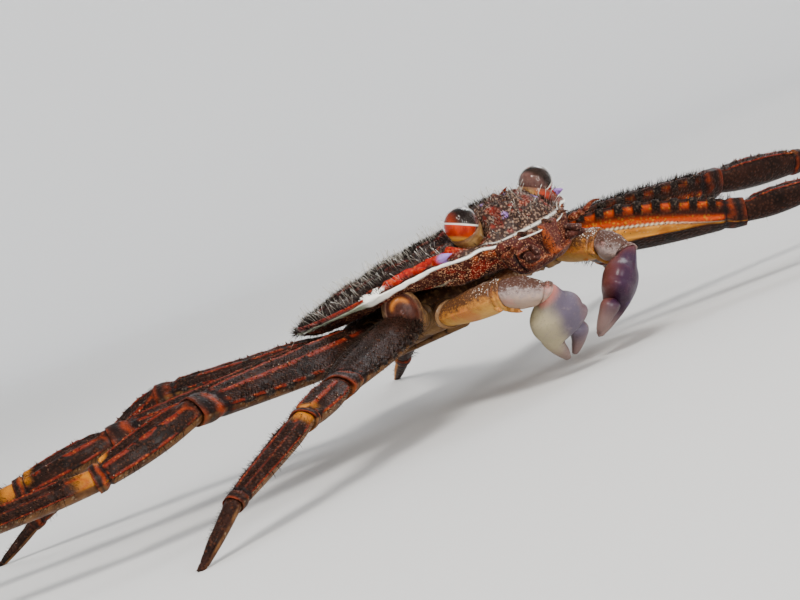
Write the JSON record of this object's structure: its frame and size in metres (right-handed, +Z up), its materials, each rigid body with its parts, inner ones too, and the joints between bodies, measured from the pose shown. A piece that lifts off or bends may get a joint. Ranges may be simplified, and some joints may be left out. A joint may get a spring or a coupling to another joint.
{
  "type": "percnon gibbesi crab, life-size still model",
  "caption": "Low, disc-shaped rock crab crouching on spread flat legs, with stalked eyes, a hooked side margin, short rounded claws and spiny leg edges.",
  "frame": {"origin": "on the ground, under the middle of the whole crab's bounding box", "axes": "the crab faces -Y, its left side is +X, and +Z is up"},
  "size_m": [0.1242, 0.0794, 0.0188],
  "materials": {
    "carapace": "dark brown shell under short bristles, with bare red ridges and a white edge line",
    "thorax": "cream and golden breast plate with a fine satin grain",
    "abdomen": "pale tail flap, satin",
    "eyestalk": "golden brown stalk, slightly wet",
    "cornea": "glossy domed eye, dark above and red-orange below",
    "antennule": "folded red-brown feeler, satin",
    "antenna": "short orange-brown feeler, satin",
    "maxilliped": "brown and cream speckled jaw plate, satin",
    "merus": "dark red-brown flat upper leg with orange edges and bristles",
    "carpus": "dark brown leg joint with grooves and bristles",
    "propodus": "brown lower leg with a fringe of bristles and golden ends",
    "dactyl": "golden claw-like leg tip with short spines",
    "arm": "golden claw arm with a brown grainy top",
    "wrist": "pale lavender claw wrist with dark grains",
    "palm": "smooth lavender palm, cream below and pink on its upper edge",
    "finger": "cream and lavender finger, smooth"
  },
  "bodies": {
    "root": {"carapace": "carapace", "thorax": "thorax", "abdomen": "abdomen", "eyestalk_left": "eyestalk", "eyestalk_right": "eyestalk", "cornea_left": "cornea", "cornea_right": "cornea", "antennule_left": "antennule", "antennule_right": "antennule", "antenna_left": "antenna", "antenna_right": "antenna", "maxilliped_left": "maxilliped", "maxilliped_right": "maxilliped", "cheliped_right_merus": "arm", "cheliped_right_carpus": "wrist", "cheliped_right_palm": "palm", "cheliped_right_finger": "finger", "cheliped_left_merus": "arm", "cheliped_left_carpus": "wrist", "cheliped_left_palm": "palm", "cheliped_left_finger": "finger", "leg1_right_merus": "merus", "leg1_right_carpus": "carpus", "leg1_right_propodus": "propodus", "leg1_right_dactyl": "dactyl", "leg2_right_merus": "merus", "leg2_right_carpus": "carpus", "leg2_right_propodus": "propodus", "leg2_right_dactyl": "dactyl", "leg3_right_merus": "merus", "leg3_right_carpus": "carpus", "leg3_right_propodus": "propodus", "leg3_right_dactyl": "dactyl", "leg4_right_merus": "merus", "leg4_right_carpus": "carpus", "leg4_right_propodus": "propodus", "leg4_right_dactyl": "dactyl", "leg1_left_merus": "merus", "leg1_left_carpus": "carpus", "leg1_left_propodus": "propodus", "leg1_left_dactyl": "dactyl", "leg2_left_merus": "merus", "leg2_left_carpus": "carpus", "leg2_left_propodus": "propodus", "leg2_left_dactyl": "dactyl", "leg3_left_merus": "merus", "leg3_left_carpus": "carpus", "leg3_left_propodus": "propodus", "leg3_left_dactyl": "dactyl", "leg4_left_merus": "merus", "leg4_left_carpus": "carpus", "leg4_left_propodus": "propodus", "leg4_left_dactyl": "dactyl"}
  },
  "joints": []
}
